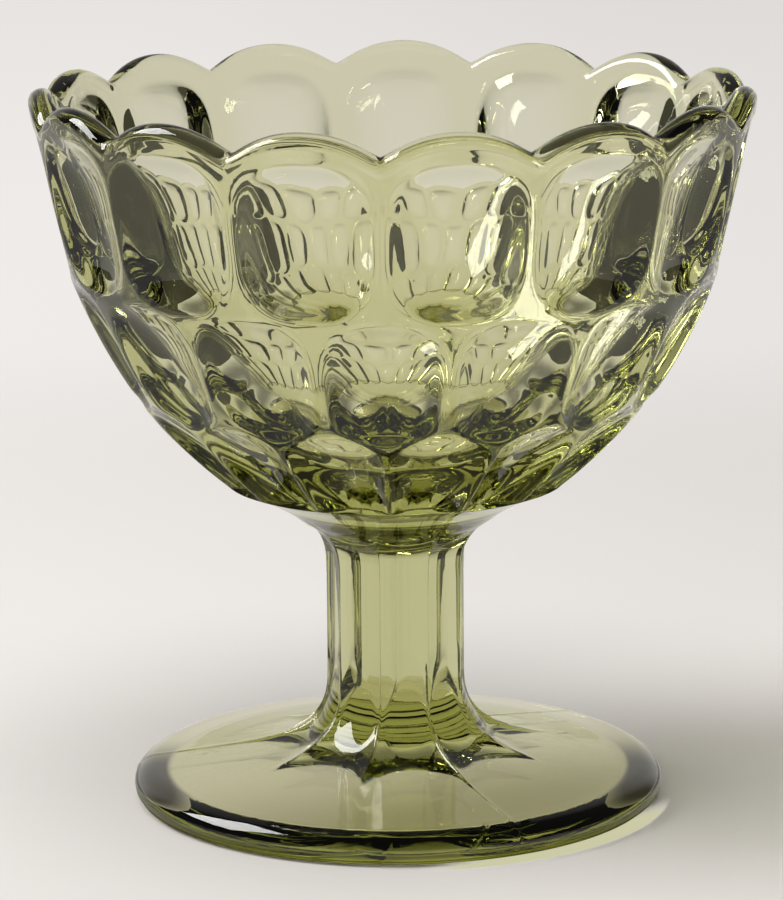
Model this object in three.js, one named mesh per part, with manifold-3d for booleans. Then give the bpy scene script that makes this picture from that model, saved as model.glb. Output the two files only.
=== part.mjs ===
// Footed chip and dip bowl in olive green pressed glass.
// A deep round bowl with a scalloped lip and three rows of thumbprints stands on a
// smooth collar, a stem with nine hollow panels and a round foot.
// Millimetres, +Z up. The origin is on the surface that the foot rests on, on the
// axis of the bowl. Angles run from the front, -Y, towards +X.

import * as THREE from 'three';
import { mergeVertices } from 'three/addons/utils/BufferGeometryUtils.js';
import Module from 'manifold-3d';

const wasm = await Module();
wasm.setup();

// Foot
const FOOT_RADIUS = 52.6;
const FOOT_EDGE_RISE = 3.0; // height at which the foot is widest
const FOOT_UNDERCUT = 2.6; // how far the lower edge is rounded in
const SHOULDER_INSET = 5.4; // from the widest point in to where the top starts
const SHOULDER_RISE = 6.8; // height of the top where the shoulder ends
const TOP_RISE = 11.6; // height of the top where it meets the stem
const REST_RING_WIDTH = 5;
const HOLLOW_DEPTH = 5.2; // how high the underside domes up inside the resting ring
const HOLLOW_POWER = 1.7; // how late the dome turns down to the ring
const FOOT_HEIGHT = 14; // up to where the flares run into the stem

// Stem
const PANELS = 9;
const STEM_HEIGHT = 43;
const STEM_RADIUS = 13.9; // over the ridges, at the waist
const PANEL_RADIUS = 12.45; // to the middle of a panel, at the waist
const FLARE_REACH = 16.6; // how far the ridges run out over the foot
const PANEL_REACH = 12; // the same in the middle of a panel
const FLARE_RISE = 28; // height where the lower flare starts
const FLARE_FLOOR = 9; // height where the ridges have run out
const FLARE_ROOT = 2; // how far the flares go on down inside the foot
const FLARE_POWER = 4.2;
const NECK_DROP = 20; // from the top of the collar down to the straight stem
const NECK_POWER = 2.75;
const PANEL_TOP_POWER = 3.5; // how late a panel turns out into the neck
const STEM_TURN = 4; // degrees from a notch of the lip to the nearest stem ridge

// Collar
const COLLAR_HEIGHT = 7;

// Bowl
const BOWL_HEIGHT = 78.2; // from the collar to the crests of the lip
const RIM_RADIUS = 70.5;
const OUTLINE_LEAD = 17.65; // these three shape the outside before the thumbprints
const OUTLINE_SWEEP = 33.9;
const OUTLINE_POWER = 0.89;
const LIP_THICKNESS = 5.2;
const WALL_GAIN = 5; // how much thicker the wall is at its base than at the lip
const WALL_POWER = 0.75;
const FLOOR_THICKNESS = 4;
const FLOOR_POWER = 8; // how squarely the inside turns into its floor
const SCALLOPS = 15;
const SCALLOP_DEPTH = 5;
const NOTCH_SOFTNESS = 0.5; // how much the bottom of a notch is filled up
const NOTCH_POWER = 6; // how close to its bottom the filling stays

// Thumbprints, one entry for each row: the heights are over the base of the bowl
const PRINT_ROWS = [
  { low: 42.3, high: 72.4, width: 26.4, depth: 5, shift: 0.5 },
  { low: 16.8, high: 41.8, width: 21.8, depth: 4, shift: 0 },
  { low: -10, high: 18.7, width: 16.4, depth: 3.2, shift: 0.5 },
];
const PRINT_SQUARENESS = 2.6; // 2 would be a true oval
const CUTTER_DEPTH = 9; // half the thickness of the oval that presses a thumbprint

// Fineness of the facets, and the distance below which two points are one
const MERGE_DISTANCE = 1e-4;
const LOFT_COLUMNS = SCALLOPS * 6;
const ROUND_COLUMNS = PANELS * 6;
const OUTSIDE_POINTS = 9;
const LIP_POINTS = 6;
const INSIDE_POINTS = 8;
const SHOULDER_POINTS = 6;
const EDGE_POINTS = 3;
const UNDERSIDE_POINTS = 5;
const FLARE_LEVELS = 6;
const WAIST_LEVELS = 5;
const NECK_LEVELS = 7;
const COLLAR_LEVELS = 5;
const CUTTER_COLUMNS = 16;
const CUTTER_ROWS = 12;

// Levels, from the ground up
const stemBase = FOOT_HEIGHT;
const stemTop = stemBase + STEM_HEIGHT;
const collarTop = stemTop + COLLAR_HEIGHT;
const rimTop = collarTop + BOWL_HEIGHT;
const lipRadius = LIP_THICKNESS / 2;
const wallHeight = BOWL_HEIGHT - lipRadius;

// Outlines

// Radius of the outside of the bowl, before the thumbprints, at a height over its base
function outsideRadius(height) {
  const rise = (h) => 1 - Math.exp(-(h + OUTLINE_LEAD) / OUTLINE_SWEEP);
  return RIM_RADIUS * (rise(height) / rise(wallHeight)) ** OUTLINE_POWER;
}

// Radius of the smooth inside at the same height
function insideRadius(height) {
  const depth = Math.max(0, 1 - height / wallHeight);
  const wall = LIP_THICKNESS + WALL_GAIN * depth ** WALL_POWER;
  const down = (wallHeight - height) / (wallHeight - FLOOR_THICKNESS);
  const closing = Math.sqrt(Math.max(0, 1 - Math.max(0, down) ** FLOOR_POWER));
  return (outsideRadius(height) - wall) * closing;
}

// How far the lip lies below its crests. The notches are at whole steps.
function scallopDrop(angle) {
  const step = (2 * Math.PI) / SCALLOPS;
  const fromCrest = (angle / step - Math.floor(angle / step)) - 0.5;
  const halfWidth = (RIM_RADIUS * step) / 2;
  const arc = (halfWidth ** 2 + SCALLOP_DEPTH ** 2) / (2 * SCALLOP_DEPTH);
  const drop = arc - Math.sqrt(arc ** 2 - (2 * fromCrest * halfWidth) ** 2);
  // The two arcs would meet in a point, which the mould leaves slightly round
  return drop - NOTCH_SOFTNESS * (drop / SCALLOP_DEPTH) ** NOTCH_POWER;
}

// The neck under the bowl, which the collar and the ridges of the stem share
function neckGrowth(height) {
  const up = Math.max(0, (height - (collarTop - NECK_DROP)) / NECK_DROP);
  return (outsideRadius(0) - STEM_RADIUS) * up ** NECK_POWER;
}

// The flare over the foot, as a share of its full reach
function flareShare(height) {
  const down = Math.max(0, (FLARE_RISE - height) / (FLARE_RISE - FLARE_FLOOR));
  return down ** FLARE_POWER;
}

function ridgeRadius(height) {
  return STEM_RADIUS + neckGrowth(height) + FLARE_REACH * flareShare(height);
}

function panelRadius(height) {
  const neckStart = collarTop - NECK_DROP;
  const up = Math.max(0, (height - neckStart) / (stemTop - neckStart));
  const reach = ridgeRadius(stemTop) - PANEL_RADIUS;
  return PANEL_RADIUS + reach * up ** PANEL_TOP_POWER + PANEL_REACH * flareShare(height);
}

// Radius of the panelled stem: each panel is a shallow hollow between two ridges
function stemRadius(angle, height) {
  const step = (2 * Math.PI) / PANELS;
  const turned = angle - THREE.MathUtils.degToRad(STEM_TURN);
  const fromMiddle = (turned / step - Math.floor(turned / step) - 0.5) * step;
  const across = Math.tan(fromMiddle) / Math.tan(step / 2);
  const flat = ridgeRadius(height) * Math.cos(step / 2);
  const hollow = (flat - panelRadius(height)) * (1 - across ** 2);
  return (flat - hollow) / Math.cos(fromMiddle);
}

// Shapes

// Steps between two values, both ends counted
function steps(from, to, count) {
  return Array.from({ length: count }, (_, i) => from + ((to - from) * i) / (count - 1));
}

// Closed body whose section turns with the angle. Every section has the same number
// of [radius, height] points, from the axis below round to the axis above.
function loftAround(sectionAt, columns) {
  const positions = [];
  const indices = [];
  const rows = sectionAt(0).length;
  for (let c = 0; c < columns; c += 1) {
    const angle = (2 * Math.PI * c) / columns;
    for (const [radius, height] of sectionAt(angle)) {
      positions.push(radius * Math.sin(angle), -radius * Math.cos(angle), height);
    }
  }
  const last = rows - 1;
  for (let c = 0; c < columns; c += 1) {
    const here = c * rows;
    const next = ((c + 1) % columns) * rows;
    indices.push(here, next + 1, here + 1);
    for (let r = 1; r < last - 1; r += 1) {
      indices.push(here + r, next + r, next + r + 1);
      indices.push(here + r, next + r + 1, here + r + 1);
    }
    indices.push(here + last - 1, next + last - 1, here + last);
  }
  const geometry = new THREE.BufferGeometry();
  geometry.setAttribute('position', new THREE.Float32BufferAttribute(positions, 3));
  geometry.setIndex(indices);
  return mergeVertices(geometry, MERGE_DISTANCE);
}

// Body turned from an outline of [radius, height] points that starts and ends on the axis
function turned(outline, columns) {
  const points = outline.map(([radius, height]) => new THREE.Vector2(radius, height));
  return new THREE.LatheGeometry(points, columns).rotateX(Math.PI / 2);
}

// Solids

function toSolid(geometry) {
  const plain = geometry.clone();
  plain.deleteAttribute('normal');
  plain.deleteAttribute('uv');
  const merged = mergeVertices(plain, MERGE_DISTANCE);
  return new wasm.Manifold(
    new wasm.Mesh({
      numProp: 3,
      vertProperties: new Float32Array(merged.attributes.position.array),
      triVerts: new Uint32Array(merged.index.array),
    })
  );
}

function toGeometry(solid) {
  const mesh = solid.getMesh();
  const geometry = new THREE.BufferGeometry();
  geometry.setAttribute('position', new THREE.BufferAttribute(mesh.vertProperties, 3));
  geometry.setIndex(new THREE.BufferAttribute(mesh.triVerts, 1));
  return geometry;
}

// The foot: a round plate with a low conical top, and the nine flares that the ridges
// of the stem run out in
function footGeometry() {
  const rise = SHOULDER_RISE - FOOT_EDGE_RISE;
  const shoulder = steps(0, Math.PI / 2, SHOULDER_POINTS).map((turn) => [
    FOOT_RADIUS - SHOULDER_INSET * (1 - Math.cos(turn)),
    FOOT_EDGE_RISE + rise * Math.sin(turn),
  ]);
  const ringOuter = FOOT_RADIUS - FOOT_UNDERCUT;
  const ringInner = ringOuter - REST_RING_WIDTH;
  const edge = steps(0, Math.PI / 2, EDGE_POINTS).slice(0, -1).map((turn) => [
    ringOuter + FOOT_UNDERCUT * Math.sin(turn),
    FOOT_EDGE_RISE * (1 - Math.cos(turn)),
  ]);
  // A low dome under the sloping top, so that the glass is about as thick all over
  const underside = steps(0, ringInner, UNDERSIDE_POINTS).map((radius) => [
    radius,
    HOLLOW_DEPTH * (1 - (radius / ringInner) ** HOLLOW_POWER),
  ]);
  const plate = turned(
    [
      ...underside,
      ...edge,
      ...shoulder,
      [panelRadius(FOOT_HEIGHT), TOP_RISE],
      [0, TOP_RISE],
    ],
    ROUND_COLUMNS
  );
  const levels = steps(FLARE_FLOOR - FLARE_ROOT, FOOT_HEIGHT, FLARE_LEVELS);
  return toGeometry(toSolid(plate).add(toSolid(stemLoft(levels))));
}

// A stretch of the panelled stem between its lowest and its highest level
function stemLoft(levels) {
  return loftAround(
    (angle) => [
      [0, levels[0]],
      ...levels.map((height) => [stemRadius(angle, height), height]),
      [0, levels[levels.length - 1]],
    ],
    ROUND_COLUMNS
  );
}

function stemGeometry() {
  const lower = steps(stemBase, FLARE_RISE, WAIST_LEVELS);
  const upper = steps(collarTop - NECK_DROP, stemTop, NECK_LEVELS);
  return stemLoft([...lower, ...upper]);
}

function collarGeometry() {
  const side = steps(stemTop, collarTop, COLLAR_LEVELS).map((height) => [ridgeRadius(height), height]);
  return turned([[0, stemTop], ...side, [0, collarTop]], ROUND_COLUMNS);
}

// One section of the bowl, from the middle of its underside, up the outside, over the
// lip and down the inside to the middle of its floor
function bowlSection(angle) {
  const lipHeight = wallHeight - scallopDrop(angle);
  const middle = (outsideRadius(lipHeight) + insideRadius(lipHeight)) / 2;
  const half = outsideRadius(lipHeight) - middle;
  const lip = steps(0, Math.PI, LIP_POINTS).map((turn) => [
    middle + half * Math.cos(turn),
    lipHeight + lipRadius * Math.sin(turn),
  ]);
  const outside = steps(0, lipHeight, OUTSIDE_POINTS).slice(0, -1);
  // Closest together where the inside turns into its floor
  const inside = steps(0, Math.PI / 2, INSIDE_POINTS).slice(1, -1).map(
    (turn) => lipHeight - (lipHeight - FLOOR_THICKNESS) * Math.sin(turn)
  );
  return [
    [0, 0],
    ...outside.map((height) => [outsideRadius(height), height]),
    ...lip,
    ...inside.map((height) => [insideRadius(height), height]),
    [0, FLOOR_THICKNESS],
  ];
}

// Moves a ball's surface out towards the corners of the square across X
function squareOff(ball) {
  const point = ball.attributes.position;
  for (let i = 0; i < point.count; i += 1) {
    const radius = Math.hypot(point.getY(i), point.getZ(i));
    if (radius > MERGE_DISTANCE) {
      const y = Math.abs(point.getY(i) / radius);
      const z = Math.abs(point.getZ(i) / radius);
      const grow = (y ** PRINT_SQUARENESS + z ** PRINT_SQUARENESS) ** (-1 / PRINT_SQUARENESS);
      point.setY(i, point.getY(i) * grow);
      point.setZ(i, point.getZ(i) * grow);
    }
  }
  return ball;
}

// The oval that presses one thumbprint: it lies across the wall, with its middle
// outside, and cuts the row's width, height and depth out of the curved outside
function printCutter(row, index) {
  const middle = (row.low + row.high) / 2;
  const radius = outsideRadius(middle);
  const slope = (outsideRadius(middle + 1) - outsideRadius(middle - 1)) / 2;
  const tilt = Math.atan(slope);
  const spread = CUTTER_DEPTH - row.depth;
  const halfWidth = row.width / 2;
  const halfHeight = (row.high - row.low) / 2 / Math.cos(tilt);
  const bulge = (radius - Math.sqrt(radius ** 2 - halfWidth ** 2)) * Math.cos(tilt);
  const wide = halfWidth / Math.sqrt(1 - ((spread + bulge) / CUTTER_DEPTH) ** 2);
  const tall = halfHeight / Math.sqrt(1 - (spread / CUTTER_DEPTH) ** 2);
  const angle = ((index + row.shift) * 2 * Math.PI) / SCALLOPS;
  return squareOff(new THREE.SphereGeometry(1, CUTTER_COLUMNS, CUTTER_ROWS).rotateZ(Math.PI / 2))
    .scale(CUTTER_DEPTH, wide, tall)
    .translate(spread, 0, 0)
    .rotateY(tilt)
    .translate(radius, 0, middle)
    .rotateZ(angle - Math.PI / 2);
}

function bowlGeometry() {
  let bowl = toSolid(loftAround(bowlSection, LOFT_COLUMNS));
  for (const row of PRINT_ROWS) {
    for (let index = 0; index < SCALLOPS; index += 1) {
      bowl = bowl.subtract(toSolid(printCutter(row, index)));
    }
  }
  return toGeometry(bowl);
}

// The object

const OLIVE = 0x9aa45a;
const group = new THREE.Group();

function add(name, geometry, height = 0) {
  const material = new THREE.MeshStandardMaterial({
    color: OLIVE,
    roughness: 0.06,
    metalness: 0,
    transparent: true,
    opacity: 0.6,
  });
  const mesh = new THREE.Mesh(geometry, material);
  mesh.name = name;
  mesh.position.z = height;
  group.add(mesh);
}

add('foot', footGeometry());
add('stem', stemGeometry());
add('collar', collarGeometry());
add('bowl', bowlGeometry(), collarTop);

export default group;
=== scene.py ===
"""Footed chip and dip bowl in olive green pressed glass, on a pale studio floor.

The glass is one spun and shaped body: a round foot with three mould seams, a panelled
stem, a smooth collar and a deep bowl with three rows of thumbprints and a scalloped lip.
Sizes of the glass are in millimetres, and everything is handed to Blender in metres.
Angles run from the front, -Y, towards +X.
"""

import math

import bpy
import numpy as np
from mathutils import Matrix, Vector


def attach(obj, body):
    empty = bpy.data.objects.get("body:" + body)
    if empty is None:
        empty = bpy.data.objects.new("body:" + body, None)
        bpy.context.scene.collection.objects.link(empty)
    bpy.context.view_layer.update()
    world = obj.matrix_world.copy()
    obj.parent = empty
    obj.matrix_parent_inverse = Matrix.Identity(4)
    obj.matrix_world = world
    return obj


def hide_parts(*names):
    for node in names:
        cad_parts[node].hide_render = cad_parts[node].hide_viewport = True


MM = 0.001

# Foot
FOOT_RADIUS = 52.6
FOOT_EDGE_RISE = 3.0
FOOT_UNDERCUT = 2.6
SHOULDER_INSET = 5.4
SHOULDER_RISE = 6.8
TOP_RISE = 11.6
TOP_RISE_RADIUS = 16.05  # where the cone of the foot would reach its top rise
REST_RING_WIDTH = 5.0
HOLLOW_DEPTH = 5.2  # how high the underside domes up inside the resting ring
HOLLOW_POWER = 1.7

RING_OUTER = FOOT_RADIUS - FOOT_UNDERCUT
RING_INNER = RING_OUTER - REST_RING_WIDTH
SHOULDER_RADIUS = FOOT_RADIUS - SHOULDER_INSET

# Stem
PANELS = 9
STEM_RADIUS = 13.9
PANEL_RADIUS = 12.45
STEM_TURN = 4.0  # degrees from a notch of the lip to the nearest ridge
FLARE_REACH = 16.6  # how much farther out the ridges would be at the floor of the flares
PANEL_REACH = 12.0  # and the middles of the panels
FLARE_RISE = 28.0
FLARE_FLOOR = 9.0
FLARE_POWER = 4.2
FLARE_OUT = 34.0  # where the rows that follow the flares start, out on the foot
FLARE_TOP = 27.0  # and where they end, up on the stem
FLARE_FILLET = 2.0
NECK_BASE = 44.0
NECK_POWER = 2.75
NECK_ROUNDING = 0.25
PANEL_TOP_START = 47.0
PANEL_TOP_REACH = 6.25
PANEL_TOP_LENGTH = 9.0
PANEL_TOP_POWER = 3
RIDGE_DIP = 0.5  # how far the ridges stay inside the neck until they run out
RIDGE_END = 59.5
RIDGE_LEAD_OFF = 6.0  # how far outside it they are led after that, over as long a stretch

# Collar and bowl
COLLAR_TOP = 64.0
BOWL_HEIGHT = 78.2
RIM_RADIUS = 70.5
OUTLINE_LEAD = 17.65
OUTLINE_SWEEP = 33.9
OUTLINE_POWER = 0.89
LIP_THICKNESS = 5.2
WALL_GAIN = 5.0
WALL_POWER = 0.75
FLOOR_THICKNESS = 4.0
FLOOR_POWER = 8
SCALLOPS = 15
SCALLOP_DEPTH = 5.0
NOTCH_SOFTNESS = 0.5
NOTCH_POWER = 6
SCALLOP_FADE = 10.0  # height over the collar under which the scallops don't move the wall

LIP_RADIUS = LIP_THICKNESS / 2
WALL_HEIGHT = BOWL_HEIGHT - LIP_RADIUS
SCALLOP_STEP = 2 * math.pi / SCALLOPS

# Thumbprints, one entry a row: heights over the collar, width at mid height, depth, and
# the turn from the notches in steps of the scallops
PRINT_ROWS = (
    {"low": 42.3, "high": 72.4, "width": 26.5, "depth": 5.1, "shift": 0.5},
    {"low": 16.8, "high": 41.8, "width": 21.9, "depth": 4.3, "shift": 0.0},
    {"low": -6.0, "high": 18.7, "width": 16.6, "depth": 3.4, "shift": 0.5},
)
PRINT_SQUARENESS = 2.6
PRINT_FLATNESS = 0.3  # share of a print's upright curve that is kept for its ends
RIDGE_ROUNDING = 0.9

# Mould seams: angles on the foot, and the raised line's half width and height
SEAM_ANGLES = (4.0, 112.0, 244.0)
SEAM_WIDTH = 0.16
SEAM_HEIGHT = 0.16
SEAM_GATHER = 0.86  # how much the mesh is drawn together beside a seam
SEAM_REACH = 2.4

# Fineness of the mesh
COLUMNS = 270
UNDERSIDE_ROWS = 15
EDGE_ROWS = 5
SHOULDER_ROWS = 8
CONE_ROWS = 12
FLARE_ROWS = 32
STEM_ROWS = 7
NECK_ROWS = 26
WALL_ROWS = 90
LIP_ROWS = 12
INSIDE_ROWS = 32
LIP_GAP = 0.5  # from the rows of the lip down to those of the wall and the inside
CURVE_SAMPLES = 2000
HALVINGS = 40  # of the stretch in which a ray meets the flares
MERGE_DISTANCE = 1e-6  # in metres

# Camera: azimuth of the place it stands at, distance from the axis and height in metres,
# tilt, and in pixels the picture, the focal length and the middle of the view
CAMERA_AZIMUTH = math.radians(-22)
CAMERA_DISTANCE = 0.8633
CAMERA_HEIGHT = 0.2569
CAMERA_PITCH = math.radians(12.25)
CAMERA_ROLL = math.radians(-0.45)
IMAGE_WIDTH, IMAGE_HEIGHT = 783, 900
FOCAL_PIXELS = 4482.6
MIDDLE_X = 395.5
SENSOR = 36.0


# Helpers for the shape

def smooth_min(a, b, rounding):
    """The smaller of two values, with the corner between them rounded."""
    share = np.maximum(rounding - np.abs(a - b), 0) / rounding
    return np.minimum(a, b) - share * share * rounding / 4


def rise_of(height):
    return 1 - np.exp(-(height + OUTLINE_LEAD) / OUTLINE_SWEEP)


def outside_radius(height):
    """Outside of the bowl, before the thumbprints, at a height over the collar."""
    return RIM_RADIUS * (rise_of(height) / rise_of(WALL_HEIGHT)) ** OUTLINE_POWER


def outside_slope(height, step):
    """How fast that outside widens with height, from a step below to a step above."""
    return (outside_radius(height + step) - outside_radius(height - step)) / (2 * step)


def inside_radius(height):
    """Smooth inside of the bowl, closed at its floor, at a height over the collar."""
    depth = np.maximum(0, 1 - height / WALL_HEIGHT)
    wall = LIP_THICKNESS + WALL_GAIN * depth ** WALL_POWER
    down = (WALL_HEIGHT - height) / (WALL_HEIGHT - FLOOR_THICKNESS)
    closing = np.sqrt(np.maximum(0, 1 - np.maximum(0, down) ** FLOOR_POWER))
    return (outside_radius(height) - wall) * closing


def scallop_drop(angle):
    """How far the lip lies below its crests. The notches are at whole steps."""
    from_crest = angle / SCALLOP_STEP - np.floor(angle / SCALLOP_STEP) - 0.5
    half_width = RIM_RADIUS * SCALLOP_STEP / 2
    arc = (half_width ** 2 + SCALLOP_DEPTH ** 2) / (2 * SCALLOP_DEPTH)
    drop = arc - np.sqrt(arc ** 2 - (2 * from_crest * half_width) ** 2)
    return drop - NOTCH_SOFTNESS * (drop / SCALLOP_DEPTH) ** NOTCH_POWER


def print_surfaces(row, angle, height):
    """Dished surfaces of a row's two prints that lie nearest to each angle."""
    middle = (row["low"] + row["high"]) / 2
    half_height = (row["high"] - row["low"]) / 2
    half_angle = row["width"] / 2 / outside_radius(middle)
    depth = row["depth"] * math.hypot(1, outside_slope(middle, step=1))
    across = angle / SCALLOP_STEP - row["shift"]
    nearest = (across - np.round(across)) * SCALLOP_STEP
    other = nearest - np.where(nearest < 0, -SCALLOP_STEP, SCALLOP_STEP)
    up = np.abs((height - middle) / half_height)
    upright = (1 - PRINT_FLATNESS) * up ** 2 + PRINT_FLATNESS * up ** 4
    base = outside_radius(height)
    surfaces = []
    for offset in (nearest, other):
        side = np.abs(offset / half_angle)
        spread = side ** PRINT_SQUARENESS + upright ** (PRINT_SQUARENESS / 2)
        share = spread ** (2 / PRINT_SQUARENESS)
        surfaces.append(base - depth * (1 - share))
    return surfaces


def wall_radius(angle, height):
    """Outside of the bowl with its thumbprints."""
    radius = outside_radius(height) + 0 * angle
    for row in PRINT_ROWS:
        for surface in print_surfaces(row, angle, height):
            radius = smooth_min(radius, surface, RIDGE_ROUNDING)
    return radius


def neck_radius(level):
    """Stem over its ridges, and the round neck that widens from it to the bowl."""
    up = np.maximum(0, (level - NECK_BASE) / (COLLAR_TOP - NECK_BASE))
    return STEM_RADIUS + (outside_radius(0.0) - STEM_RADIUS) * up ** NECK_POWER


def flare_share(level):
    """How much of their reach the flares have at a level: all of it at their floor."""
    down = np.maximum(0, (FLARE_RISE - level) / (FLARE_RISE - FLARE_FLOOR))
    return down ** FLARE_POWER


def stem_radius(angle, level):
    """Panelled stem: nine shallow hollows between ridges, cut off by the round neck."""
    step = 2 * math.pi / PANELS
    turned = (angle - math.radians(STEM_TURN)) / step
    from_middle = (turned - np.floor(turned) - 0.5) * step
    across = np.tan(from_middle) / math.tan(step / 2)
    run = np.maximum(0, (level - PANEL_TOP_START) / (RIDGE_END - PANEL_TOP_START))
    dip = RIDGE_DIP * np.sin(np.minimum(run, 1) * math.pi)
    lead_off = RIDGE_LEAD_OFF * np.maximum(0, run - 1)
    ridge = neck_radius(level) + FLARE_REACH * flare_share(level) - dip + lead_off
    up = np.maximum(0, (level - PANEL_TOP_START) / PANEL_TOP_LENGTH)
    top = PANEL_TOP_REACH * up ** PANEL_TOP_POWER
    middle = PANEL_RADIUS + top + PANEL_REACH * flare_share(level)
    flat = ridge * math.cos(step / 2)
    hollow = (flat - middle) * (1 - across ** 2)
    panel = (flat - hollow) / np.cos(from_middle)
    if np.all(level < PANEL_TOP_START):
        return panel
    return smooth_min(panel, neck_radius(level) + 0 * angle, NECK_ROUNDING)


def cone_level(radius):
    """Level of the foot's low conical top."""
    fall = (TOP_RISE - SHOULDER_RISE) / (SHOULDER_RADIUS - TOP_RISE_RADIUS)
    return SHOULDER_RISE + fall * (SHOULDER_RADIUS - radius)


def flare_point(angle, turn):
    """Where a ray from the air beside the stem meets the foot or the stem's flares.
    A turn of 0 looks straight down and a quarter turn looks straight at the stem."""
    go_radius, go_level = -math.sin(turn), -math.cos(turn)
    near = np.zeros_like(angle)
    far = np.full_like(angle, FLARE_OUT - PANEL_RADIUS)
    for _ in range(HALVINGS):
        middle = (near + far) / 2
        radius = FLARE_OUT + go_radius * middle
        level = FLARE_TOP + go_level * middle
        stem = radius - stem_radius(angle, level)
        free = smooth_min(stem, level - cone_level(radius), FLARE_FILLET) > 0
        near = np.where(free, middle, near)
        far = np.where(free, far, middle)
    return FLARE_OUT + go_radius * near, FLARE_TOP + go_level * near


def seam_offset(angle, radius):
    """Distance along the circle to the nearest mould seam."""
    offsets = []
    for seam in SEAM_ANGLES:
        turn = (angle - math.radians(seam) + math.pi) % (2 * math.pi) - math.pi
        offsets.append(turn * radius)
    offsets = np.array(offsets)
    return offsets[np.abs(offsets).argmin(axis=0), np.arange(angle.size)]


def with_seams(angle, radius, level, upward):
    """A row with the seams raised on it and its points drawn together beside them.
    Upward is 1 where a seam is raised straight up and 0 where it is raised outwards."""
    offset = seam_offset(angle, radius)
    near = np.exp(-(offset / SEAM_REACH) ** 2)
    moved = offset * (1 - SEAM_GATHER * near)
    raised = SEAM_HEIGHT * np.exp(-(moved / SEAM_WIDTH) ** 2)
    angle = angle + (moved - offset) / radius
    return angle, radius + raised * (1 - upward), level + raised * upward


# The section of the glass, row by row, from the middle of the underside, up the outside,
# over the lip and down the inside. Each row is a function of the angle.

def even_steps(curve, start, end, count):
    """Parameters that step along a curve at even distances."""
    fine = np.linspace(start, end, CURVE_SAMPLES)
    points = np.array([curve(value) for value in fine])
    length = np.concatenate([[0], np.cumsum(np.hypot(*np.diff(points, axis=0).T))])
    return np.interp(np.linspace(0, length[-1], count), length, fine)


def plain_row(radius, level):
    return lambda angle: (np.full_like(angle, radius), np.full_like(angle, level))


def foot_rows():
    rows = []
    for radius in np.linspace(0, RING_INNER, UNDERSIDE_ROWS):
        dome = HOLLOW_DEPTH * (1 - (radius / RING_INNER) ** HOLLOW_POWER)
        rows.append(plain_row(radius, dome))
    for turn in np.linspace(0, math.pi / 2, EDGE_ROWS):
        radius = RING_OUTER + FOOT_UNDERCUT * math.sin(turn)
        rows.append(plain_row(radius, FOOT_EDGE_RISE * (1 - math.cos(turn))))
    rise = SHOULDER_RISE - FOOT_EDGE_RISE
    for turn in np.linspace(0, math.pi / 2, SHOULDER_ROWS)[1:]:
        radius = FOOT_RADIUS - SHOULDER_INSET * (1 - math.cos(turn))
        rows.append(plain_row(radius, FOOT_EDGE_RISE + rise * math.sin(turn)))
    for radius in np.linspace(SHOULDER_RADIUS, FLARE_OUT, CONE_ROWS)[1:-1]:
        rows.append(plain_row(radius, cone_level(radius)))
    return rows


def flare_row(turn):
    return lambda angle: flare_point(angle, turn)


def stem_row(level):
    def row(angle):
        levels = np.full_like(angle, level)
        return stem_radius(angle, levels), levels
    return row


def stem_rows():
    rows = [flare_row(turn) for turn in np.linspace(0, math.pi / 2, FLARE_ROWS)]
    straight = np.linspace(FLARE_TOP, NECK_BASE, STEM_ROWS)
    neck = even_steps(lambda z: (neck_radius(z), z), NECK_BASE, COLLAR_TOP, NECK_ROWS)
    for levels in (straight, neck):
        rows.extend(stem_row(level) for level in levels[1:])
    return rows


def lowered(angle, height):
    """A height over the collar, lowered where the lip above it is scalloped."""
    share = np.clip((height - SCALLOP_FADE) / (WALL_HEIGHT - SCALLOP_FADE), 0, 1)
    return height - scallop_drop(angle) * share


def wall_row(height):
    def row(angle):
        low = lowered(angle, height)
        return wall_radius(angle, low), COLLAR_TOP + low
    return row


def inside_row(height):
    def row(angle):
        low = lowered(angle, height)
        return inside_radius(low), COLLAR_TOP + low
    return row


def lip_row(turn):
    def row(angle):
        height = WALL_HEIGHT - scallop_drop(angle)
        outer, inner = outside_radius(height), inside_radius(height)
        slope = outside_slope(height, step=0.5)
        reach = np.hypot(1, slope)
        out, up = (outer - inner) / 2 * math.cos(turn), LIP_RADIUS * math.sin(turn)
        radius = (outer + inner) / 2 + (out + up * slope) / reach
        return radius, COLLAR_TOP + height + (up - out * slope) / reach
    return row


def bowl_rows():
    top = WALL_HEIGHT - LIP_GAP
    heights = even_steps(lambda h: (outside_radius(h), h), 0.0, top, WALL_ROWS)
    wall = [wall_row(height) for height in heights]
    lip = [lip_row(turn) for turn in np.linspace(0, math.pi, LIP_ROWS)]
    depths = even_steps(lambda h: (inside_radius(h), h), top, FLOOR_THICKNESS, INSIDE_ROWS)
    inside = [inside_row(height) for height in depths[:-1]]
    inside.append(plain_row(0.0, COLLAR_TOP + FLOOR_THICKNESS))
    return wall, lip, inside


# Blender work

def select_only(piece):
    bpy.ops.object.select_all(action="DESELECT")
    piece.select_set(True)
    bpy.context.view_layer.objects.active = piece


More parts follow.
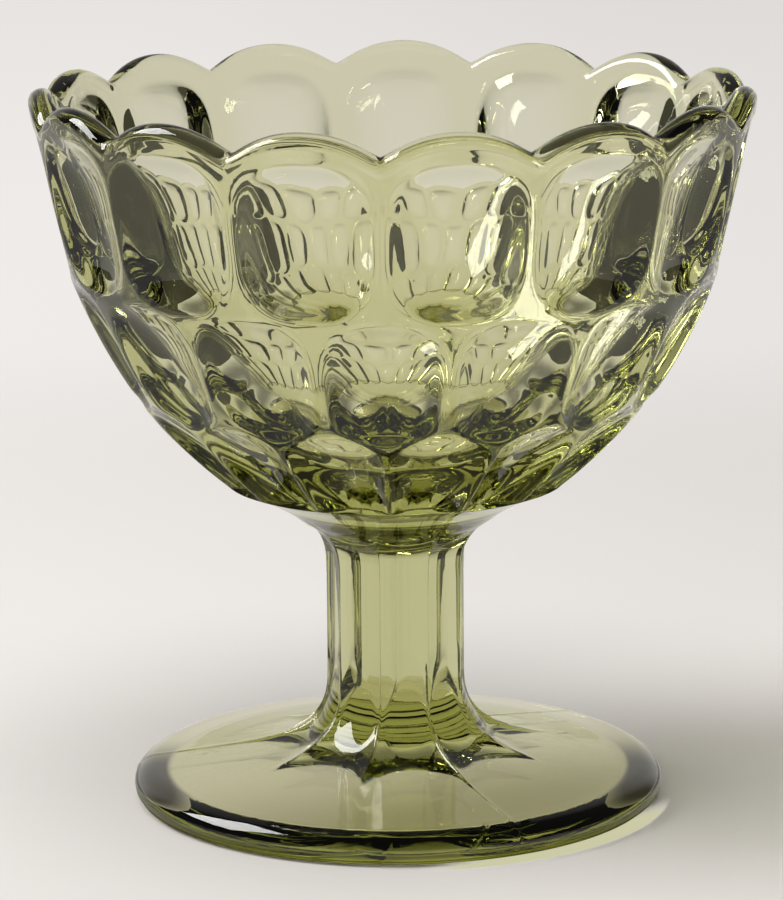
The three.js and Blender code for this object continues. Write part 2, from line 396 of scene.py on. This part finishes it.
def spin_profile(name, points):
    """Spins a line of (radius, level) points round the upright axis. Each vertex keeps
    the number of its row."""
    mesh = bpy.data.meshes.new(name)
    mesh.from_pydata(
        [(0, -radius * MM, level * MM) for radius, level in points],
        [(i, i + 1) for i in range(len(points) - 1)],
        [],
    )
    rows = mesh.attributes.new("row", "FLOAT", "POINT")
    rows.data.foreach_set("value", np.arange(len(points), dtype=np.float32))
    piece = bpy.data.objects.new(name, mesh)
    bpy.context.collection.objects.link(piece)
    select_only(piece)
    bpy.ops.object.mode_set(mode="EDIT")
    bpy.ops.mesh.select_all(action="SELECT")
    bpy.ops.mesh.spin(steps=COLUMNS, angle=2 * math.pi, center=(0, 0, 0), axis=(0, 0, 1))
    bpy.ops.mesh.select_all(action="SELECT")
    bpy.ops.mesh.remove_doubles(threshold=MERGE_DISTANCE)
    bpy.ops.object.mode_set(mode="OBJECT")
    return piece


def row_numbers(mesh):
    values = np.zeros(len(mesh.vertices), np.float32)
    mesh.attributes["row"].data.foreach_get("value", values)
    return np.round(values).astype(int)


def double_columns(piece, first, last):
    """Halves the columns of the rows from first to last, where the fine pattern is."""
    mesh = piece.data
    rows = row_numbers(mesh)
    ends = np.zeros(len(mesh.edges) * 2, np.int32)
    mesh.edges.foreach_get("vertices", ends)
    pair = rows[ends.reshape(-1, 2)]
    chosen = (pair[:, 0] == pair[:, 1]) & (pair[:, 0] >= first) & (pair[:, 0] <= last)
    select_only(piece)
    bpy.ops.object.mode_set(mode="EDIT")
    bpy.context.tool_settings.mesh_select_mode = (False, True, False)
    bpy.ops.mesh.select_all(action="DESELECT")
    bpy.ops.object.mode_set(mode="OBJECT")
    mesh.edges.foreach_set("select", chosen)
    bpy.ops.object.mode_set(mode="EDIT")
    bpy.ops.mesh.subdivide(number_cuts=1)
    bpy.ops.mesh.select_all(action="SELECT")
    bpy.ops.mesh.normals_make_consistent(inside=False)
    bpy.ops.object.mode_set(mode="OBJECT")


def make_glass():
    """Spins the section at the front, then moves every row to its shape all round."""
    foot, stem = foot_rows(), stem_rows()
    wall, lip, inside = bowl_rows()
    rows = foot + stem + wall + lip + inside
    at_front = [row(np.zeros(1)) for row in rows]
    points = [(float(radius[0]), float(level[0])) for radius, level in at_front]
    piece = spin_profile("glass_body", points)
    first = len(foot) + len(stem)
    double_columns(piece, first, first + len(wall) + len(lip) - 1)

    mesh = piece.data
    number = row_numbers(mesh)
    place = np.zeros(len(mesh.vertices) * 3, np.float32)
    mesh.vertices.foreach_get("co", place)
    place = place.reshape(-1, 3).astype(float)
    angle = np.arctan2(place[:, 0], -place[:, 1]) % (2 * math.pi)
    seam_start = len(foot) - CONE_ROWS - SHOULDER_ROWS  # on the edge of the foot
    seam_end = len(foot) + FLARE_ROWS
    for index, row in enumerate(rows):
        here = number == index
        turn = angle[here]
        radius, level = row(turn)
        if seam_start < index < seam_end:
            upward = min(1.0, (index - seam_start) / SHOULDER_ROWS)
            turn, radius, level = with_seams(turn, radius, level, upward)
        place[here, 0] = radius * np.sin(turn) * MM
        place[here, 1] = -radius * np.cos(turn) * MM
        place[here, 2] = level * MM
    mesh.vertices.foreach_set("co", place.astype(np.float32).ravel())
    mesh.update()
    select_only(piece)
    bpy.ops.object.shade_smooth()
    return piece


# Materials

BLACK = (0, 0, 0, 1)


class Nodes:
    """Short ways to add nodes to a material or the world and to join them."""

    def __init__(self, tree):
        self.nodes, self.links = tree.nodes, tree.links

    def feed(self, socket, value):
        """Joins a socket to the one that is given, or sets it to the value."""
        if isinstance(value, bpy.types.NodeSocket):
            self.links.new(value, socket)
        else:
            socket.default_value = value

    def add(self, kind, inputs):
        node = self.nodes.new(kind)
        for name, value in inputs.items():
            self.feed(node.inputs[name], value)
        return node

    def math(self, kind, first, second=0.0):
        node = self.nodes.new("ShaderNodeMath")
        node.operation = kind
        self.feed(node.inputs[0], first)
        self.feed(node.inputs[1], second)
        return node.outputs[0]

    def vector_math(self, kind, vector, other=(0, 0, 0)):
        node = self.nodes.new("ShaderNodeVectorMath")
        node.operation = kind
        self.feed(node.inputs[0], vector)
        self.feed(node.inputs[1], other)
        return node.outputs

    def along(self, vector, direction):
        return self.vector_math("DOT_PRODUCT", vector, direction)["Value"]

    def length(self, vector):
        return self.vector_math("LENGTH", vector)["Value"]

    def ramp(self, value, start, end, low=0.0, high=1.0):
        """Smooth change from low to high while the value goes from start to end."""
        node = self.nodes.new("ShaderNodeMapRange")
        node.interpolation_type = "SMOOTHSTEP"
        self.feed(node.inputs["Value"], value)
        self.feed(node.inputs["From Min"], start)
        self.feed(node.inputs["From Max"], end)
        self.feed(node.inputs["To Min"], low)
        self.feed(node.inputs["To Max"], high)
        return node.outputs["Result"]

    def mix(self, factor, first, second):
        node = self.nodes.new("ShaderNodeMix")
        node.data_type = "RGBA"
        self.feed(node.inputs["Factor"], factor)
        self.feed(node.inputs["A"], first)
        self.feed(node.inputs["B"], second)
        return node.outputs["Result"]

    def scaled(self, colour, share):
        return self.mix(share, BLACK, colour)

    def left_over(self, first, second):
        """Light that is left where two shares of shade meet."""
        return self.math("SUBTRACT", 1.0, self.math("MULTIPLY", first, second))


def new_material(name):
    material = bpy.data.materials.new(name)
    material.use_nodes = True
    material.node_tree.nodes.clear()
    return material, Nodes(material.node_tree)


GLASS_TINT = (0.985, 0.975, 0.825, 1)  # what its skin leaves of the light
GLASS_DEPTH_COLOUR = (0.70, 0.72, 0.30, 1)  # the colour that its thickness gives
GLASS_DENSITY = 50.0
GLASS_IOR = 1.52
RIPPLE_SCALE = 90.0
RIPPLE_DETAIL = 3.0
RIPPLE_STRENGTH = 0.15
RIPPLE_HEIGHT = 0.0004


def olive_glass():
    """Clear olive green glass with the faint ripple of a pressing."""
    material, build = new_material("pressed_olive_glass")
    place = build.nodes.new("ShaderNodeTexCoord").outputs["Object"]
    ripple = build.add("ShaderNodeTexNoise", {
        "Vector": place,
        "Scale": RIPPLE_SCALE,
        "Detail": RIPPLE_DETAIL,
    })
    bump = build.add("ShaderNodeBump", {
        "Strength": RIPPLE_STRENGTH,
        "Distance": RIPPLE_HEIGHT,
        "Height": ripple.outputs["Fac"],
    })
    glass = build.add("ShaderNodeBsdfPrincipled", {
        "Base Color": GLASS_TINT,
        "Roughness": 0.0,
        "IOR": GLASS_IOR,
        "Transmission Weight": 1.0,
        "Normal": bump.outputs["Normal"],
    })
    tint = build.add("ShaderNodeVolumeAbsorption", {
        "Color": GLASS_DEPTH_COLOUR,
        "Density": GLASS_DENSITY,
    })
    build.add("ShaderNodeOutputMaterial", {
        "Surface": glass.outputs["BSDF"],
        "Volume": tint.outputs["Volume"],
    })
    return material


# Studio, in metres from the axis of the bowl

def toward(azimuth, elevation=0.0):
    """Unit vector from the object towards a place at that azimuth and elevation."""
    return Vector((
        math.sin(azimuth) * math.cos(elevation),
        -math.cos(azimuth) * math.cos(elevation),
        math.sin(elevation),
    ))


TO_FRONT = toward(CAMERA_AZIMUTH)
TO_RIGHT = toward(CAMERA_AZIMUTH + math.pi / 2)
TO_BACK = toward(CAMERA_AZIMUTH + math.pi)

# The room. The camera sees far paper all round.
PALE = (0.71, 0.685, 0.665, 1)  # the backdrop, and the paper as glass and gloss see it
GLASS_ROOM = (0.07, 0.068, 0.058, 1)  # what glass and gloss see beside the backdrop
LEFT_ROOM = (0.20, 0.195, 0.175, 1)  # what lights the paper from the left
RIGHT_ROOM = (0.15, 0.147, 0.135, 1)  # and from the right
ROOM_SPAN = (-0.7, 0.7)  # from left to right the one becomes the other over this
BACKDROP_EDGES = (math.radians(28), math.radians(48))  # where it starts to fade and is gone
BACKDROP_LEAN = math.radians(5)  # its middle lies this far to the left
BACKDROP_TOP = math.radians(45)
BACKDROP_TOP_LIGHT = 0.35  # how bright it still is up there

# Paper floor, as the camera sees it
FLOOR_RADIUS = 6.0
FLOOR_SIDES = 96
PAPER = (0.79, 0.762, 0.738, 1)  # paper near the bowl, which takes light and shadows
NEAR_PAPER = (0.87, 0.838, 0.815, 1)  # paper beyond the shadows, which glows evenly
FAR_PAPER = (0.80, 0.77, 0.745, 1)
SHADE_EDGE = (0.25, 0.5)  # the shadows fade away over this stretch
FAR_EDGE = (0.5, 1.6)  # and near paper becomes far paper over this one
# painted light falloff: the glow of the paper gets a little weaker to the right
SIDE_SPAN = 0.15  # from this far left to this far right its glow gets a little weaker
SIDE_LIGHT = 0.92
# painted light falloff: the paper near the bowl gets a little darker towards the front
FRONT_SPAN = (-0.15, 0.05)  # over this stretch to the back the paper near the bowl gets paler
FRONT_LIGHT = 0.93

# Painted light: a green glow on the paper beside the foot, for the light that the foot gathers
GATHERED_LIGHT = (0.60, 0.59, 0.38, 1)
GATHERED_SIDE = math.radians(42)  # from the camera's side towards the right
GATHERED_SHIFT = 0.0024  # how far it reaches beyond the foot on that side
GATHERED_SPAN = (0.041, 0.048)  # it starts and is full this far to that side
GATHERED_BLUR = MM / 2

# Paper floor, as glass and gloss see it, with painted shade around the foot
UNDER_LIT = (0.64, 0.605, 0.53, 1)  # painted shade: paper under the foot, on the side of the light
UNDER_SHADED = (0.32, 0.30, 0.19, 1)  # and darker on the other side, a painted shadow of the stem
UNDER_SIDE = math.radians(35)  # the shaded side, from the camera's side towards the right
UNDER_SPAN = (-0.02, 0.035)  # that shade starts and is full this far to its side
UNDER_BLUR = 2 * MM
# painted contact shadow under the front of the resting ring, as glass sees the paper
RING_LIGHT = 0.1  # how much light reaches the paper under the front of the resting ring
RING_SPAN = (-0.02, 0.0)  # that shade starts and is full this far to the front
RING_BLUR = MM
RING_FADE = 4 * MM  # how far beyond the foot it is gone
BESIDE_SPAN = (0.04, 0.075)  # how far aside the painted shade beside the foot starts and is full
BESIDE_REACH = (0.085, 0.12)  # how far from the axis it starts to fade and is gone
# how much light that painted shade leaves
BESIDE_LIGHT = 0.3

# Two dark flags beside the bowl, which draw the dark edges of the glass
FLAG_CLOTH = (0.052, 0.051, 0.036, 1)
FLAG_SIDE = 0.11
FLAG_FRONT = 0.08
FLAG_BACK = 0.17
FLAG_BOTTOM = 0.001
FLAG_TOP = 0.132

LAMP_AIM = Vector((0, 0, 0.07))  # where the softboxes point, half way up the object


def make_camera():
    data = bpy.data.cameras.new("camera")
    data.sensor_width = SENSOR
    data.lens = SENSOR * FOCAL_PIXELS / IMAGE_HEIGHT
    data.shift_x = (IMAGE_WIDTH / 2 - MIDDLE_X) / IMAGE_HEIGHT
    camera = bpy.data.objects.new("camera", data)
    bpy.context.collection.objects.link(camera)
    back = toward(CAMERA_AZIMUTH, CAMERA_PITCH)
    up = back.cross(TO_RIGHT)
    turned_right = TO_RIGHT * math.cos(CAMERA_ROLL) + up * math.sin(CAMERA_ROLL)
    turned_up = up * math.cos(CAMERA_ROLL) - TO_RIGHT * math.sin(CAMERA_ROLL)
    matrix = Matrix((turned_right, turned_up, back)).transposed().to_4x4()
    matrix.translation = TO_FRONT * CAMERA_DISTANCE + Vector((0, 0, CAMERA_HEIGHT))
    camera.matrix_world = matrix
    bpy.context.scene.camera = camera


def make_world():
    """Pale all round for the camera. For the rest it is a bright backdrop behind the
    object with a dim room beside it, which is darker for glass and gloss."""
    world = bpy.data.worlds.new("studio")
    bpy.context.scene.world = world
    world.use_nodes = True
    world.node_tree.nodes.clear()
    build = Nodes(world.node_tree)
    direction = build.nodes.new("ShaderNodeTexCoord").outputs["Generated"]
    height = build.along(direction, (0, 0, 1))
    back = build.along(direction, toward(CAMERA_AZIMUTH + math.pi + BACKDROP_LEAN))
    right = build.along(direction, TO_RIGHT)
    level_squared = build.math("SUBTRACT", 1.0, build.math("MULTIPLY", height, height))
    facing = build.math("DIVIDE", back, build.math("SQRT", level_squared))
    start, end = BACKDROP_EDGES
    behind = build.ramp(facing, math.cos(end), math.cos(start))
    fade = build.ramp(height, 0.0, math.sin(BACKDROP_TOP), 1.0, BACKDROP_TOP_LIGHT)
    rays = build.nodes.new("ShaderNodeLightPath").outputs
    room = build.mix(build.ramp(right, *ROOM_SPAN), LEFT_ROOM, RIGHT_ROOM)
    room = build.mix(rays["Is Glossy Ray"], room, GLASS_ROOM)
    studio = build.mix(behind, room, build.scaled(PALE, fade))
    seen = build.mix(rays["Is Camera Ray"], studio, FAR_PAPER)
    light = build.add("ShaderNodeBackground", {"Color": seen})
    build.add("ShaderNodeOutputWorld", {"Surface": light.outputs["Background"]})


def paper_for_glass(build, place, radius):
    """The paper as glass and gloss see it, with painted shade: dimmer under the foot and beside
    it.
    """
    foot = FOOT_RADIUS * MM
    ring = RING_INNER * MM
    shaded_side = build.along(place, toward(CAMERA_AZIMUTH + UNDER_SIDE))
    below = build.mix(build.ramp(shaded_side, *UNDER_SPAN), UNDER_LIT, UNDER_SHADED)
    colour = build.mix(build.ramp(radius, foot - UNDER_BLUR, foot + UNDER_BLUR), below, PALE)
    from_ring = build.ramp(radius, ring - RING_BLUR, ring + RING_BLUR)
    beyond_foot = build.ramp(radius, foot - UNDER_BLUR, foot + RING_FADE)
    over_ring = build.math("SUBTRACT", from_ring, beyond_foot)
    front = build.ramp(build.along(place, TO_FRONT), *RING_SPAN, 0.0, 1 - RING_LIGHT)
    aside = build.ramp(build.math("ABSOLUTE", build.along(place, TO_RIGHT)), *BESIDE_SPAN)
    near = build.ramp(radius, *BESIDE_REACH, 1 - BESIDE_LIGHT, 0.0)
    at_ring, beside = build.left_over(over_ring, front), build.left_over(aside, near)
    return build.scaled(colour, build.math("MULTIPLY", at_ring, beside))


def gathered_share(build, place):
    """Where the painted glow of the gathered light lies: in the foot's outline, shifted to its
    side.
    """
    side = toward(CAMERA_AZIMUTH + GATHERED_SIDE)
    shifted = build.vector_math("SUBTRACT", place, side * GATHERED_SHIFT)["Vector"]
    foot = FOOT_RADIUS * MM
    start, end = foot - GATHERED_BLUR, foot + GATHERED_BLUR
    inside = build.ramp(build.length(shifted), start, end, 1.0, 0.0)
    return build.math("MULTIPLY", inside, build.ramp(build.along(place, side), *GATHERED_SPAN))


def make_floor():
    """Pale paper. The camera sees the shadows on it near the object, a little painted light
    falloff, and a painted glow for the light that the foot gathers. Glass and gloss see it
    evenly pale, but for painted shade around the foot."""
    bpy.ops.mesh.primitive_circle_add(
        vertices=FLOOR_SIDES, radius=FLOOR_RADIUS, fill_type="NGON")
    floor = bpy.context.active_object
    floor.name = "floor"
    material, build = new_material("floor_paper")
    place = build.nodes.new("ShaderNodeTexCoord").outputs["Object"]
    radius = build.length(place)
    right = build.along(place, TO_RIGHT)
    back = build.along(place, TO_BACK)
    gathered = gathered_share(build, place)
    even_glow = build.mix(build.ramp(radius, *FAR_EDGE), NEAR_PAPER, FAR_PAPER)
    side_light = build.ramp(right, -SIDE_SPAN, SIDE_SPAN, 1.0, SIDE_LIGHT)
    # the camera's glow, with the painted glow of the gathered light mixed in
    for_camera = build.mix(gathered, build.scaled(even_glow, side_light), GATHERED_LIGHT)
    for_glass = paper_for_glass(build, place, radius)
    front_light = build.ramp(back, *FRONT_SPAN, FRONT_LIGHT, 1.0)

    rays = build.nodes.new("ShaderNodeLightPath").outputs
    through = build.math("MAXIMUM", rays["Is Transmission Ray"], rays["Is Glossy Ray"])
    beyond = build.math("MAXIMUM", gathered, build.ramp(radius, *SHADE_EDGE))
    paper = build.add("ShaderNodeBsdfDiffuse", {"Color": build.scaled(PAPER, front_light)})
    glow = build.add("ShaderNodeEmission", {"Color": build.mix(through, for_camera, for_glass)})
    shown = build.add("ShaderNodeMixShader", {"Fac": build.math("MAXIMUM", through, beyond)})
    build.feed(shown.inputs[1], paper.outputs["BSDF"])
    build.feed(shown.inputs[2], glow.outputs["Emission"])
    build.add("ShaderNodeOutputMaterial", {"Surface": shown.outputs["Shader"]})
    floor.data.materials.append(material)


def make_flags():
    """Upright dark cards beside the bowl, seen only through the glass."""
    material, build = new_material("flag_cloth")
    cloth = build.add("ShaderNodeEmission", {"Color": FLAG_CLOTH})
    build.add("ShaderNodeOutputMaterial", {"Surface": cloth.outputs["Emission"]})
    low, high = Vector((0, 0, FLAG_BOTTOM)), Vector((0, 0, FLAG_TOP))
    for name, side in (("left_flag", -1), ("right_flag", 1)):
        near = TO_RIGHT * side * FLAG_SIDE - TO_BACK * FLAG_FRONT
        far = TO_RIGHT * side * FLAG_SIDE + TO_BACK * FLAG_BACK
        mesh = bpy.data.meshes.new(name)
        mesh.from_pydata([near + low, far + low, far + high, near + high], [], [(0, 1, 2, 3)])
        mesh.materials.append(material)
        flag = bpy.data.objects.new(name, mesh)
        bpy.context.collection.objects.link(flag)
        flag.visible_camera = False
        flag.visible_diffuse = False
        flag.visible_glossy = False
        flag.visible_shadow = False


def softbox(name, azimuth, elevation, distance, size, strength, mirrored=False, lights_paper=True):
    """Square lamp that faces the object. Its azimuth, in degrees, runs from the camera's
    side towards the right. Only a mirrored one shows in the glass."""
    data = bpy.data.lights.new(name, "AREA")
    data.shape = "SQUARE"
    data.size = size
    data.energy = strength
    lamp = bpy.data.objects.new(name, data)
    bpy.context.collection.objects.link(lamp)
    away = toward(CAMERA_AZIMUTH + math.radians(azimuth), math.radians(elevation))
    lamp.location = away * distance + LAMP_AIM
    lamp.rotation_euler = away.to_track_quat("Z", "Y").to_euler()
    lamp.visible_glossy = mirrored
    lamp.visible_transmission = mirrored
    lamp.visible_diffuse = lights_paper


def make_lights():
    softbox(
        "window_softbox", azimuth=-97, elevation=41, distance=1.3, size=0.75, strength=20,
        mirrored=True, lights_paper=False)
    softbox("key_softbox", azimuth=-90, elevation=45, distance=1.3, size=0.6, strength=11.6)
    softbox("top_fill", azimuth=0, elevation=80, distance=1.4, size=0.9, strength=10.6)


# The scene

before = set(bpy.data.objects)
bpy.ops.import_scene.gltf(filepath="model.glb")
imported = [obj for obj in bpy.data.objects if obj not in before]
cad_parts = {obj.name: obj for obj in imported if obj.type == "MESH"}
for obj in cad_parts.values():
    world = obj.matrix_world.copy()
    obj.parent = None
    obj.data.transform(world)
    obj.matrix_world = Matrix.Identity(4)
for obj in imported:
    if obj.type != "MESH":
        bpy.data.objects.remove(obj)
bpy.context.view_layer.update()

glass_body = make_glass()
glass_body.data.materials.append(olive_glass())
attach(glass_body, "root")
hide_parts("foot", "stem", "collar", "bowl")

make_camera()
make_world()
make_floor()
make_flags()
make_lights()

scene = bpy.context.scene
scene.view_settings.view_transform = "Standard"
